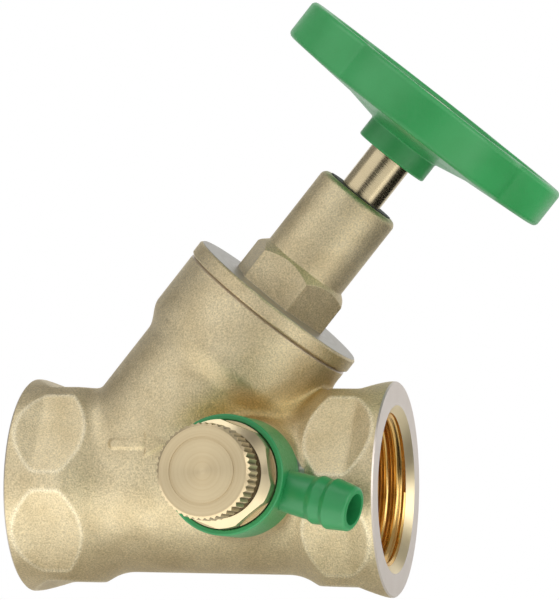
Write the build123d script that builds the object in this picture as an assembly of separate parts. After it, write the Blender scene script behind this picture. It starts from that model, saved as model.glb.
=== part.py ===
from build123d import *
import math
import os

os.makedirs("parts", exist_ok=True)

# Stop valve with an oblique seat, a rising spindle and a drain valve, in millimetres.
# The origin is on the axis of the run where the inlet thread starts, +X follows the
# flow and +Z is up. The stem leans towards the outlet and the drain valve faces -Y.

# Fits
RUNNING = 0.05            # radial play of a moving piece in its hole
SCREWED = 0.05            # radial play of a screwed joint
SEAL_PLAY = 0.03          # radial play of a rubber ring in its groove
GROOVE_PLAY = 0.5         # axial play of a rubber ring in its groove
END_PLAY = 0.05           # axial play between faces that meet and move
STEM_EDGE = 0.4           # chamfer at the ends of turned pieces

# Straight run
BODY_LENGTH = 65.0
RUN_RADIUS = 15.0
RUN_WALL = 4.5

# Pipe sockets, Rp 3/4, with a countersunk mouth in front of the thread
SOCKET_RADIUS = 13.22
SOCKET_DEPTH = 14.0
SOCKET_MOUTH_RELIEF = 1.28
SOCKET_START = 2.2

# Hexagon hubs around the sockets
HUB_WALL = 3.88
HUB_RELIEF = 1.5
HUB_BARREL = 9.9
HUB_TAPER = 6.3
HUB_ROUND = 3.0
HUB_EDGE = 0.25
FLAT_INSET = 5.0
FLAT_RUNOUT = 4.0

# Flow arrow cast on the front
ARROW_START = 17.6
ARROW_LENGTH = 10.4
ARROW_HEIGHT = 6.7
ARROW_SHAFT = 1.5
ARROW_HEAD = 4.0
ARROW_HEAD_LENGTH = 3.8
ARROW_RELIEF = 0.35
ARROW_ROUND = 0.3

# Neck around the stem axis, which crosses the axis of the run
STEM_X = 17.7
STEM_TILT = 51.9
NECK_RADIUS = 14.9
NECK_WALL = 2.6
NECK_STEP_LENGTH = 4.0
NECK_STEP_ROUND = 2.5
HEAD_WALL = 2.7
HEAD_LENGTH = 10.6
NECK_EDGE = 0.25
BONNET_THREAD_RADIUS = 14.0
RING_POCKET_WIDTH = 1.25
RING_POCKET_DEPTH = 1.6

# Seat and the wall that carries it, along the stem axis from the axis of the run
SEAT_LEVEL = 12.0
SEAT_RADIUS = 9.6
SEAT_LIP = 1.0
SEAT_LIP_WIDTH = 1.4
SEAT_WALL = 3.0

# Valve disc
LIFT = 8.0
DISC_GAP = 0.8
DISC_PLATE = 3.0
DISC_RIM = 0.7
DISC_RIM_DEPTH = 1.6
DISC_ROUND = 0.5
DISC_BOSS_RADIUS = 6.5
DISC_BOSS_HEIGHT = 6.0
DISC_SEAL_THICKNESS = 3.0
STUD_RADIUS = 3.0
STUD_END = 0.8
DISC_WASHER_RADIUS = 6.0
DISC_WASHER_THICKNESS = 1.0
DISC_NUT_ACROSS_FLATS = 10.0
DISC_NUT_HEIGHT = 3.5
CLIP_THICKNESS = 1.1
CLIP_WIDTH = 1.5
CLIP_BITE = 0.8
CLIP_GAP_ANGLE = 50.0

# Spindle
STEM_RADIUS = 4.0
SCREW_RADIUS = 5.0
SCREW_LENGTH = 14.0
FOOT_RADIUS = 3.5
FOOT_DEPTH = 5.0
FOOT_SHOULDER = 0.3
SQUARE = 6.0
SQUARE_SHORT = 0.5

# Bonnet
BONNET_SHANK = 9.9
BONNET_RUNOUT = 0.5
BONNET_CLEARANCE = 1.95
FLANGE_RIM = 0.3
FLANGE_THICKNESS = 2.7
FLANGE_EDGE = 0.4
BONNET_ACROSS_FLATS = 17.0
BONNET_HEX_HEIGHT = 7.5
BONNET_HEX_TURN = 27.0
BONNET_HEX_SLOPE = 0.9
BONNET_POCKET_GAP = 1.0
BACK_PLAY = 0.85
GLAND_RADIUS = 7.9
GLAND_LENGTH = 15.5
GLAND_ROUND = 1.2
GLAND_RING_SECTION = 1.7
GLAND_RING_PITCH = 5.0
GLAND_RING_INSET = 5.6
WIPER_WIDTH = 2.4
WIPER_DEPTH = 2.0
WIPER_PROUD = 0.15

# Handwheel
WHEEL_GAP = 0.5
WHEEL_HUB_RADIUS = 6.9
WHEEL_HUB_HEIGHT = 3.75
WHEEL_HUB_ROUND = 0.4
WHEEL_SOCKET_INSET = 3.0
WHEEL_HUB_FILLET = 0.4
WHEEL_CONE_RADIUS = 13.0
WHEEL_CONE_RISE = 1.15
WHEEL_RISE = 1.2
WHEEL_RIM_HEIGHT = 8.4
WHEEL_RADIUS = 27.2
WHEEL_LOBES = 4
WHEEL_TURN = 20.0
WHEEL_CREASE_DEPTH = 3.2
WHEEL_CREASE_ROUND = 2.0
WHEEL_WALL = 3.2
WHEEL_EDGE = 0.9
WHEEL_LOWER_EDGE = 0.9
WHEEL_BOSS_RADIUS = 8.0
WHEEL_BOSS_HEIGHT = 1.3
WHEEL_BOSS_ROUND = 0.5
WHEEL_SCREW_RADIUS = 2.0
WHEEL_SCREW_DEPTH = 9.0
WHEEL_SCREW_HEAD_RADIUS = 4.0
WHEEL_SCREW_HEAD = 2.7
WHEEL_SCREW_ROUND = 0.8
WHEEL_SCREW_SLOT = 1.1
WHEEL_SCREW_SLOT_DEPTH = 1.3
WHEEL_WASHER_RADIUS = 5.5
WHEEL_WASHER_THICKNESS = 0.8

# Drain boss and drain valve body
DRAIN_FROM_OUTLET = 23.0
DRAIN_Z = 1.0
BOSS_RADIUS = 10.0
BOSS_STAND = 2.4
DRAIN_THREAD_RADIUS = 6.58
DRAIN_REACH = 1.0
GASKET_THICKNESS = 0.8
COLLAR_WIDTH = 1.35
COLLAR_THICKNESS = 1.2
DRAIN_STEM_RADIUS = 6.65
DRAIN_ACROSS_FLATS = 17.0
DRAIN_HEX_RADIUS = 9.05
DRAIN_HEX_TURN = 9.5
DRAIN_HEX_HEIGHT = 4.9
DRAIN_HEX_FACE_RADIUS = 7.5
DRAIN_HEX_SLOPE = 0.6
DRAIN_FLANGE_HEIGHT = 1.0
DRAIN_LIP_RADIUS = 6.5
DRAIN_LIP_HEIGHT = 1.2
DRAIN_SEAT_INSET = 0.5
DRAIN_INLET_RADIUS = 2.0
DRAIN_BORE_RADIUS = 4.2
DRAIN_PORT_RADIUS = 1.0
DRAIN_WAIST_DEPTH = 1.05
DRAIN_RING_SECTION = 1.16
DRAIN_RING_OFFSET = 2.6

# Swivel ring with the hose nozzle
SWIVEL_LENGTH = 11.3
SWIVEL_GAP = 0.2
SWIVEL_EDGE = 0.35
SWIVEL_LIP = 0.95
SWIVEL_MOUTH_GAP = 0.15
SWIVEL_MOUTH_DEPTH = 1.0
SWIVEL_GALLERY_DEPTH = 0.85
SWIVEL_GALLERY_WIDTH = 3.0
NOZZLE_DROP = 14.0
NOZZLE_LEAN = 10.0
NOZZLE_LENGTH = 12.35
NOZZLE_ROOT_RADIUS = 3.45
NOZZLE_SHANK_RADIUS = 3.7
NOZZLE_BORE_RADIUS = 2.7
NOZZLE_BORE_DIP = 0.2
NOZZLE_BARB_RADIUS = 4.15
NOZZLE_BARB_RISE = 1.1
NOZZLE_BARB_FALL = 1.7
NOZZLE_BARB_ROUND = 0.6
NOZZLE_VALLEY_RADIUS = 3.85
NOZZLE_HEAD_RADIUS = 4.35
NOZZLE_HEAD_RISE = 0.9
NOZZLE_HEAD_LENGTH = 3.9
NOZZLE_HEAD_ROUND = 0.4
NOZZLE_TIP_RADIUS = 3.75
NOZZLE_TIP_ROUND = 0.6

# Drain knob with its screw
KNOB_GAP = 2.2
KNOB_RADIUS = 8.0
KNOB_THICKNESS = 5.8
KNOB_RIDGES = 48
KNURL_DEPTH = 0.4
KNOB_EDGE = 0.6
KNOB_MARK_RADIUS = 5.2
KNOB_MARK_WIDTH = 0.5
KNOB_MARK_DEPTH = 0.15
KNOB_PILOT_RADIUS = 2.6
KNOB_PILOT_LENGTH = 4.0
KNOB_PIN_RADIUS = 1.2
KNOB_RING_INSET = 1.8
DRAIN_SEAL_RADIUS = 3.3
DRAIN_SEAL_THICKNESS = 1.4
DRAIN_SEAL_HOLE = 0.9

# Sizes that follow for the body and its ends
PASSAGE_RADIUS = RUN_RADIUS - RUN_WALL
SOCKET_MOUTH_RADIUS = SOCKET_RADIUS + SOCKET_MOUTH_RELIEF
HUB_FLAT = SOCKET_RADIUS + HUB_WALL
HUB_RADIUS = HUB_FLAT + HUB_RELIEF
HUB_LENGTH = HUB_BARREL + HUB_TAPER
CHAMBER_RADIUS = NECK_RADIUS - NECK_WALL
HEAD_RADIUS = BONNET_THREAD_RADIUS + HEAD_WALL
RING_POCKET_RADIUS = BONNET_THREAD_RADIUS + RING_POCKET_WIDTH

# Levels that follow along the stem axis, with the valve open
SEAL_LEVEL = SEAT_LEVEL + SEAT_LIP + LIFT + END_PLAY
DISC_LEVEL = SEAL_LEVEL + DISC_SEAL_THICKNESS
BOSS_LEVEL = DISC_LEVEL + DISC_PLATE
DISC_TOP = BOSS_LEVEL + DISC_BOSS_HEIGHT
DISC_RADIUS = CHAMBER_RADIUS - DISC_GAP
FOOT_LEVEL = DISC_TOP - FOOT_DEPTH + END_PLAY
CLIP_LEVEL = FOOT_LEVEL + FOOT_DEPTH / 2
CLIP_GROOVE_RADIUS = FOOT_RADIUS - CLIP_BITE
CLIP_RADIUS = CLIP_GROOVE_RADIUS + 2 * RUNNING + CLIP_WIDTH
SCREW_LEVEL = DISC_TOP + FOOT_SHOULDER
SCREW_TOP = SCREW_LEVEL + SCREW_LENGTH
BONNET_LEVEL = BOSS_LEVEL + BONNET_CLEARANCE
NECK_TOP = BONNET_LEVEL + BONNET_SHANK
FLANGE_TOP = NECK_TOP + FLANGE_THICKNESS
FLANGE_RADIUS = HEAD_RADIUS + FLANGE_RIM
HEX_TOP = FLANGE_TOP + BONNET_HEX_HEIGHT
GLAND_TOP = HEX_TOP + GLAND_LENGTH
UPPER_RING_LEVEL = GLAND_TOP - GLAND_RING_INSET
LOWER_RING_LEVEL = UPPER_RING_LEVEL - GLAND_RING_PITCH
WIPER_RADIUS = STEM_RADIUS + WIPER_WIDTH
WHEEL_LEVEL = GLAND_TOP + LIFT + WHEEL_GAP
SQUARE_LEVEL = WHEEL_LEVEL + WHEEL_SOCKET_INSET
WHEEL_WEB_LEVEL = WHEEL_LEVEL + WHEEL_HUB_HEIGHT + WHEEL_CONE_RISE
WHEEL_FLOOR = WHEEL_WEB_LEVEL + WHEEL_WALL
WHEEL_BOSS_TOP = WHEEL_FLOOR + WHEEL_BOSS_HEIGHT
WHEEL_TOP = WHEEL_WEB_LEVEL + WHEEL_RIM_HEIGHT

# Levels that follow along the drain axis, with the drain closed
DRAIN_X = BODY_LENGTH - DRAIN_FROM_OUTLET
BOSS_FACE = RUN_RADIUS + BOSS_STAND
DRAIN_INNER_END = PASSAGE_RADIUS - DRAIN_REACH
COLLAR_RADIUS = DRAIN_STEM_RADIUS + COLLAR_WIDTH
COLLAR_LEVEL = BOSS_FACE + GASKET_THICKNESS
COLLAR_TOP = COLLAR_LEVEL + COLLAR_THICKNESS
DRAIN_SEAT_LEVEL = COLLAR_TOP + DRAIN_SEAT_INSET
SWIVEL_LEVEL = BOSS_FACE + SWIVEL_GAP
SWIVEL_FRONT = SWIVEL_LEVEL + SWIVEL_LENGTH
SWIVEL_BORE = DRAIN_STEM_RADIUS + 2 * RUNNING
SWIVEL_MOUTH_RADIUS = DRAIN_HEX_RADIUS + SWIVEL_MOUTH_GAP
SWIVEL_RADIUS = SWIVEL_MOUTH_RADIUS + SWIVEL_LIP
SWIVEL_GALLERY_RADIUS = SWIVEL_BORE + SWIVEL_GALLERY_DEPTH
NOZZLE_LEVEL = SWIVEL_LEVEL + SWIVEL_LENGTH / 2
NOZZLE_TIP = SWIVEL_RADIUS + NOZZLE_LENGTH
INNER_RING_LEVEL = NOZZLE_LEVEL - DRAIN_RING_OFFSET
OUTER_RING_LEVEL = NOZZLE_LEVEL + DRAIN_RING_OFFSET
DRAIN_HEX_LEVEL = SWIVEL_FRONT - SWIVEL_MOUTH_DEPTH + SWIVEL_GAP
DRAIN_FACE = DRAIN_HEX_LEVEL + DRAIN_HEX_HEIGHT
DRAIN_LIP_TOP = DRAIN_FACE + DRAIN_LIP_HEIGHT
DRAIN_SEAL_LEVEL = DRAIN_SEAT_LEVEL + END_PLAY
DRAIN_SEAL_TOP = DRAIN_SEAL_LEVEL + DRAIN_SEAL_THICKNESS
KNOB_SHANK_RADIUS = DRAIN_BORE_RADIUS - RUNNING
KNOB_PILOT_LEVEL = DRAIN_SEAL_TOP + END_PLAY
KNOB_PILOT_TOP = KNOB_PILOT_LEVEL + KNOB_PILOT_LENGTH
KNOB_RING_LEVEL = KNOB_PILOT_TOP + KNOB_RING_INSET
KNOB_LEVEL = DRAIN_LIP_TOP + KNOB_GAP
KNOB_FACE = KNOB_LEVEL + KNOB_THICKNESS

# Stem frame: Z along the stem, Y to the back. Drain frame: Z out of the boss, Y up.
LEAN = math.radians(STEM_TILT)
STEM = Plane(
    origin=(STEM_X, 0, 0),
    x_dir=(math.sin(LEAN), 0, -math.cos(LEAN)),
    z_dir=(math.cos(LEAN), 0, math.sin(LEAN)),
).location
DRAIN = Plane(origin=(DRAIN_X, 0, DRAIN_Z), x_dir=(1, 0, 0), z_dir=(0, -1, 0)).location


def profile(*corners):
    """Closed outline. A corner with a third number is rounded to that radius."""
    face = make_face(Polyline(*[corner[:2] for corner in corners], close=True))
    for corner in corners:
        if len(corner) == 3:
            vertex = face.vertices().sort_by_distance((corner[0], corner[1], 0))[0]
            face = fillet(vertex, corner[2])
    return face


def turned(*corners):
    """Solid of revolution about Z from corners given as radius and level."""
    return revolve(Plane.XZ * profile(*corners), Axis.Z)


def rod(radius, low, high):
    return Pos(0, 0, low) * extrude(Circle(radius), high - low)


def tube(inner, outer, low, high):
    return rod(outer, low, high) - rod(inner, low, high)


def hexagon(across_flats, low, high):
    face = RegularPolygon(across_flats / 2, 6, major_radius=False)
    return Pos(0, 0, low) * extrude(face, high - low)


def around(radius, section, level):
    """Rubber ring of round section."""
    return Pos(0, 0, level) * Torus(radius, section / 2)


def groove(inner, outer, level, width):
    return tube(inner, outer, level - width / 2, level + width / 2)


def along_x(shape):
    """Turns a shape built along Z to run along X."""
    return Rot(0, 90, 0) * shape


def hub():
    shape = along_x(
        turned(
            (0, 0),
            (HUB_RADIUS - HUB_EDGE, 0),
            (HUB_RADIUS, HUB_EDGE),
            (HUB_RADIUS, HUB_BARREL, HUB_ROUND),
            (RUN_RADIUS - RUNNING, HUB_LENGTH),
            (0, HUB_LENGTH),
        )
    )
    pocket = profile(
        (FLAT_INSET, HUB_FLAT, HUB_ROUND),
        (FLAT_INSET - FLAT_RUNOUT, HUB_RADIUS),
        (FLAT_INSET - FLAT_RUNOUT, 2 * HUB_FLAT),
        (2 * HUB_LENGTH, 2 * HUB_FLAT),
        (2 * HUB_LENGTH, HUB_FLAT),
    )
    cutter = extrude(Plane.XZ * pocket, HUB_FLAT * math.tan(math.pi / 6), both=True)
    for k in range(6):
        shape -= Rot(60 * k, 0, 0) * cutter
    return shape


def socket():
    """Pipe socket from the end face inwards, at the major radius of its thread."""
    return along_x(
        turned(
            (0, -1),
            (SOCKET_MOUTH_RADIUS, -1),
            (SOCKET_MOUTH_RADIUS, 0),
            (SOCKET_RADIUS, SOCKET_START),
            (SOCKET_RADIUS, SOCKET_DEPTH),
            (PASSAGE_RADIUS, SOCKET_DEPTH + 1),
            (0, SOCKET_DEPTH + 1),
        )
    )


def arrow():
    """Raised arrow, cut off at an even height over the neck and the run."""
    head = ARROW_LENGTH - ARROW_HEAD_LENGTH
    outline = profile(
        (0, -ARROW_SHAFT / 2, ARROW_ROUND),
        (head, -ARROW_SHAFT / 2),
        (head, -ARROW_HEAD / 2),
        (ARROW_LENGTH, 0),
        (head, ARROW_HEAD / 2),
        (head, ARROW_SHAFT / 2),
        (0, ARROW_SHAFT / 2, ARROW_ROUND),
    )
    prism = extrude(Plane.XZ * outline, RUN_RADIUS + 2 * ARROW_RELIEF)
    prism = Pos(ARROW_START, 0, ARROW_HEIGHT) * prism
    over_run = along_x(rod(RUN_RADIUS + ARROW_RELIEF, 0, BODY_LENGTH))
    over_neck = STEM * rod(NECK_RADIUS + ARROW_RELIEF, 0, NECK_TOP)
    return prism & (over_run + over_neck)


def passages():
    """Water space: inlet side, seat opening, chamber under the bonnet, outlet side."""
    bore = along_x(rod(PASSAGE_RADIUS, SOCKET_DEPTH, BODY_LENGTH - SOCKET_DEPTH))
    inlet_side = STEM * rod(3 * RUN_RADIUS, -3 * RUN_RADIUS, SEAT_LEVEL - SEAT_WALL)
    outlet_side = STEM * rod(3 * RUN_RADIUS, SEAT_LEVEL, 3 * RUN_RADIUS)
    lip = tube(SEAT_RADIUS, SEAT_RADIUS + SEAT_LIP_WIDTH, SEAT_LEVEL, SEAT_LEVEL + SEAT_LIP)
    thread_start = BONNET_LEVEL - BONNET_RUNOUT
    chamber = turned(
        (0, SEAT_LEVEL),
        (CHAMBER_RADIUS, SEAT_LEVEL),
        (CHAMBER_RADIUS, thread_start),
        (BONNET_THREAD_RADIUS, thread_start),
        (BONNET_THREAD_RADIUS, NECK_TOP - RING_POCKET_DEPTH),
        (RING_POCKET_RADIUS, NECK_TOP - RING_POCKET_DEPTH),
        (RING_POCKET_RADIUS, NECK_TOP + 1),
        (0, NECK_TOP + 1),
    )
    outlet = (bore & outlet_side) + STEM * chamber - STEM * lip
    opening = STEM * rod(SEAT_RADIUS, SEAT_WALL, SEAT_LEVEL + SEAT_LIP)
    far_socket = Pos(BODY_LENGTH, 0, 0) * Rot(0, 0, 180) * socket()
    drain_hole = DRAIN * rod(DRAIN_THREAD_RADIUS, DRAIN_INNER_END - 1, BOSS_FACE + 1)
    return outlet + opening + (bore & inlet_side) + socket() + far_socket + drain_hole


def valve_body():
    run = along_x(rod(RUN_RADIUS, HUB_BARREL, BODY_LENGTH - HUB_BARREL))
    neck = STEM * turned(
        (0, 0),
        (NECK_RADIUS, 0),
        (NECK_RADIUS, NECK_TOP - HEAD_LENGTH - NECK_STEP_LENGTH, NECK_STEP_ROUND),
        (HEAD_RADIUS, NECK_TOP - HEAD_LENGTH, NECK_STEP_ROUND),
        (HEAD_RADIUS, NECK_TOP - NECK_EDGE),
        (HEAD_RADIUS - NECK_EDGE, NECK_TOP),
        (0, NECK_TOP),
    )
    boss = DRAIN * rod(BOSS_RADIUS, 0, BOSS_FACE)
    far_hub = Pos(BODY_LENGTH, 0, 0) * Rot(0, 0, 180) * hub()
    return run + neck + boss + hub() + far_hub + arrow() - passages()


def bonnet():
    corner = BONNET_ACROSS_FLATS / math.sqrt(3)
    shank = BONNET_THREAD_RADIUS - SCREWED
    base = turned(
        (0, BONNET_LEVEL),
        (shank - FLANGE_EDGE, BONNET_LEVEL),
        (shank, BONNET_LEVEL + FLANGE_EDGE),
        (shank, NECK_TOP),
        (FLANGE_RADIUS - NECK_EDGE, NECK_TOP),
        (FLANGE_RADIUS, NECK_TOP + NECK_EDGE),
        (FLANGE_RADIUS, FLANGE_TOP - FLANGE_EDGE),
        (FLANGE_RADIUS - FLANGE_EDGE, FLANGE_TOP),
        (0, FLANGE_TOP),
    )
    crown = turned(
        (0, NECK_TOP),
        (2 * corner, NECK_TOP),
        (2 * corner, HEX_TOP - BONNET_HEX_SLOPE * (2 * corner - GLAND_RADIUS)),
        (GLAND_RADIUS, HEX_TOP),
        (0, HEX_TOP),
    )
    hexes = Rot(0, 0, BONNET_HEX_TURN - 90) * hexagon(BONNET_ACROSS_FLATS, NECK_TOP, HEX_TOP)
    gland = turned(
        (0, NECK_TOP),
        (GLAND_RADIUS, NECK_TOP),
        (GLAND_RADIUS, GLAND_TOP, GLAND_ROUND),
        (0, GLAND_TOP),
    )
    pocket_radius = DISC_BOSS_RADIUS + BONNET_POCKET_GAP
    pocket_top = BONNET_LEVEL + DISC_BOSS_HEIGHT + BONNET_POCKET_GAP
    bore = turned(
        (0, BONNET_LEVEL - 1),
        (pocket_radius, BONNET_LEVEL - 1),
        (pocket_radius, pocket_top),
        (SCREW_RADIUS + SCREWED, pocket_top),
        (SCREW_RADIUS + SCREWED, SCREW_TOP + BACK_PLAY),
        (STEM_RADIUS + RUNNING, SCREW_TOP + BACK_PLAY),
        (STEM_RADIUS + RUNNING, GLAND_TOP - WIPER_DEPTH),
        (WIPER_RADIUS, GLAND_TOP - WIPER_DEPTH),
        (WIPER_RADIUS, GLAND_TOP + 1),
        (0, GLAND_TOP + 1),
    )
    shape = base + (hexes & crown) + gland - bore
    pocket = STEM_RADIUS + RUNNING + GLAND_RING_SECTION + SEAL_PLAY
    for level in (LOWER_RING_LEVEL, UPPER_RING_LEVEL):
        shape -= groove(STEM_RADIUS, pocket, level, GLAND_RING_SECTION + GROOVE_PLAY)
    return shape


def bonnet_o_ring():
    shank = BONNET_THREAD_RADIUS - SCREWED
    section = RING_POCKET_RADIUS - shank - 2 * SEAL_PLAY
    level = NECK_TOP - RING_POCKET_DEPTH / 2
    return around((RING_POCKET_RADIUS + shank) / 2, section, level)


def spindle_o_ring(level):
    middle = STEM_RADIUS + RUNNING + SEAL_PLAY / 2 + GLAND_RING_SECTION / 2
    return around(middle, GLAND_RING_SECTION, level)


def wiper_ring():
    low = GLAND_TOP - WIPER_DEPTH
    return tube(STEM_RADIUS + RUNNING, WIPER_RADIUS, low, GLAND_TOP + WIPER_PROUD)


def spindle():
    square_top = WHEEL_BOSS_TOP - SQUARE_SHORT
    shape = turned(
        (0, FOOT_LEVEL),
        (FOOT_RADIUS - STEM_EDGE, FOOT_LEVEL),
        (FOOT_RADIUS, FOOT_LEVEL + STEM_EDGE),
        (FOOT_RADIUS, SCREW_LEVEL),
        (SCREW_RADIUS - STEM_EDGE, SCREW_LEVEL),
        (SCREW_RADIUS, SCREW_LEVEL + STEM_EDGE),
        (SCREW_RADIUS, SCREW_TOP - STEM_EDGE),
        (SCREW_RADIUS - STEM_EDGE, SCREW_TOP),
        (STEM_RADIUS, SCREW_TOP),
        (STEM_RADIUS, SQUARE_LEVEL),
        (0, SQUARE_LEVEL),
    )
    square = Pos(0, 0, SQUARE_LEVEL) * extrude(Rectangle(SQUARE, SQUARE), square_top - SQUARE_LEVEL)
    shape += square & rod(STEM_RADIUS, SQUARE_LEVEL, square_top)
    clip_width = CLIP_THICKNESS + 4 * END_PLAY
    shape -= groove(CLIP_GROOVE_RADIUS, FOOT_RADIUS + 1, CLIP_LEVEL, clip_width)
    hole_bottom = WHEEL_BOSS_TOP - WHEEL_SCREW_DEPTH - 1
    return shape - rod(WHEEL_SCREW_RADIUS + SCREWED, hole_bottom, square_top + 1)


def disc_holder():
    stud_low = SEAL_LEVEL - DISC_WASHER_THICKNESS - DISC_NUT_HEIGHT - STUD_END
    shape = turned(
        (0, stud_low),
        (STUD_RADIUS - STEM_EDGE, stud_low),
        (STUD_RADIUS, stud_low + STEM_EDGE),
        (STUD_RADIUS, DISC_LEVEL),
        (DISC_RADIUS - DISC_RIM, DISC_LEVEL),
        (DISC_RADIUS - DISC_RIM, DISC_LEVEL - DISC_RIM_DEPTH),
        (DISC_RADIUS, DISC_LEVEL - DISC_RIM_DEPTH),
        (DISC_RADIUS, BOSS_LEVEL, DISC_ROUND),
        (DISC_BOSS_RADIUS, BOSS_LEVEL),
        (DISC_BOSS_RADIUS, DISC_TOP, DISC_ROUND),
        (0, DISC_TOP),
    )
    shape -= rod(FOOT_RADIUS + 2 * RUNNING, FOOT_LEVEL - END_PLAY, DISC_TOP + 1)
    clip_width = CLIP_THICKNESS + 2 * END_PLAY
    return shape - groove(FOOT_RADIUS, CLIP_RADIUS + SCREWED, CLIP_LEVEL, clip_width)


def disc_seal():
    outer = DISC_RADIUS - DISC_RIM - SCREWED
    return tube(STUD_RADIUS + SCREWED, outer, SEAL_LEVEL, DISC_LEVEL)


def disc_washer():
    low = SEAL_LEVEL - DISC_WASHER_THICKNESS
    return tube(STUD_RADIUS + SCREWED, DISC_WASHER_RADIUS, low, SEAL_LEVEL)


def disc_nut():
    high = SEAL_LEVEL - DISC_WASHER_THICKNESS
    low = high - DISC_NUT_HEIGHT
    corner = DISC_NUT_ACROSS_FLATS / math.sqrt(3)
    flat = DISC_NUT_ACROSS_FLATS / 2
    ends = turned(
        (0, low),
        (flat, low),
        (corner + flat, low + corner / 2),
        (corner + flat, high),
        (0, high),
    )
    blank = hexagon(DISC_NUT_ACROSS_FLATS, low, high) & ends
    return blank - rod(STUD_RADIUS + SCREWED, low - 1, high + 1)


def disc_clip():
    inner = CLIP_GROOVE_RADIUS + 2 * RUNNING
    ring = groove(inner, CLIP_RADIUS, CLIP_LEVEL, CLIP_THICKNESS)
    reach = 2 * CLIP_RADIUS
    half = math.radians(CLIP_GAP_ANGLE / 2)
    side = reach * math.tan(half)
    gap = profile((0, 0), (reach, -side), (reach, side))
    low = CLIP_LEVEL - CLIP_THICKNESS
    return ring - Pos(0, 0, low) * extrude(gap, 2 * CLIP_THICKNESS)


def lobes(shrink):
    """Wheel outline of round lobes that meet in creases, moved inwards by shrink."""
    crease = WHEEL_RADIUS - WHEEL_CREASE_DEPTH
    reach = WHEEL_RADIUS - crease * math.cos(math.pi / WHEEL_LOBES)
    centre = (WHEEL_RADIUS**2 - crease**2) / (2 * reach)
    lobe = Circle(WHEEL_RADIUS - centre - shrink)
    face = Sketch()
    for k in range(WHEEL_LOBES):
        face += Rot(0, 0, WHEEL_TURN + k * 360 / WHEEL_LOBES) * Pos(centre, 0) * lobe
    return fillet(face.vertices(), WHEEL_CREASE_ROUND + shrink)


def handwheel():
    envelope = turned(
        (0, WHEEL_WEB_LEVEL),
        (WHEEL_CONE_RADIUS, WHEEL_WEB_LEVEL),
        (WHEEL_RADIUS + 1, WHEEL_WEB_LEVEL + WHEEL_RISE),
        (WHEEL_RADIUS + 1, WHEEL_TOP),
        (0, WHEEL_TOP),
    )
    prism = Pos(0, 0, WHEEL_WEB_LEVEL) * extrude(lobes(0), WHEEL_TOP - WHEEL_WEB_LEVEL)
    shape = prism & envelope
    dish = extrude(lobes(WHEEL_WALL), WHEEL_TOP - WHEEL_FLOOR)
    shape -= Pos(0, 0, WHEEL_FLOOR) * dish
    top_edges = shape.edges().group_by(Axis.Z)[-1]
    shape = fillet(top_edges, WHEEL_EDGE)
    outer_edges = [
        edge
        for edge in shape.edges().filter_by_position(Axis.Z, WHEEL_WEB_LEVEL, WHEEL_FLOOR - WHEEL_EDGE)
        if Vector((edge @ 0.5).X, (edge @ 0.5).Y).length > (WHEEL_CONE_RADIUS + WHEEL_RADIUS) / 2
    ]
    shape = fillet(outer_edges, WHEEL_LOWER_EDGE)
    shape += turned(
        (0, WHEEL_LEVEL),
        (WHEEL_HUB_RADIUS, WHEEL_LEVEL, WHEEL_HUB_ROUND),
        (WHEEL_HUB_RADIUS, WHEEL_WEB_LEVEL - WHEEL_CONE_RISE, WHEEL_HUB_FILLET),
        (WHEEL_CONE_RADIUS, WHEEL_WEB_LEVEL),
        (WHEEL_CONE_RADIUS, WHEEL_FLOOR),
        (WHEEL_BOSS_RADIUS, WHEEL_FLOOR),
        (WHEEL_BOSS_RADIUS, WHEEL_BOSS_TOP, WHEEL_BOSS_ROUND),
        (0, WHEEL_BOSS_TOP),
    )
    shape -= rod(STEM_RADIUS + RUNNING, WHEEL_LEVEL - 1, SQUARE_LEVEL + RUNNING)
    side = SQUARE + 2 * RUNNING
    depth = WHEEL_BOSS_TOP - SQUARE_LEVEL
    return shape - Pos(0, 0, SQUARE_LEVEL) * extrude(Rectangle(side, side), depth + 1)


def handwheel_washer():
    high = WHEEL_BOSS_TOP + WHEEL_WASHER_THICKNESS
    return tube(WHEEL_SCREW_RADIUS + RUNNING, WHEEL_WASHER_RADIUS, WHEEL_BOSS_TOP, high)


def handwheel_screw():
    seat = WHEEL_BOSS_TOP + WHEEL_WASHER_THICKNESS
    top = seat + WHEEL_SCREW_HEAD
    end = WHEEL_BOSS_TOP - WHEEL_SCREW_DEPTH
    shape = turned(
        (0, end),
        (WHEEL_SCREW_RADIUS - STEM_EDGE, end),
        (WHEEL_SCREW_RADIUS, end + STEM_EDGE),
        (WHEEL_SCREW_RADIUS, seat),
        (WHEEL_SCREW_HEAD_RADIUS, seat),
        (WHEEL_SCREW_HEAD_RADIUS, top, WHEEL_SCREW_ROUND),
        (0, top),
    )
    slot = extrude(Rectangle(3 * WHEEL_SCREW_HEAD_RADIUS, WHEEL_SCREW_SLOT), WHEEL_SCREW_HEAD)
    return shape - Pos(0, 0, top - WHEEL_SCREW_SLOT_DEPTH) * slot


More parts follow.
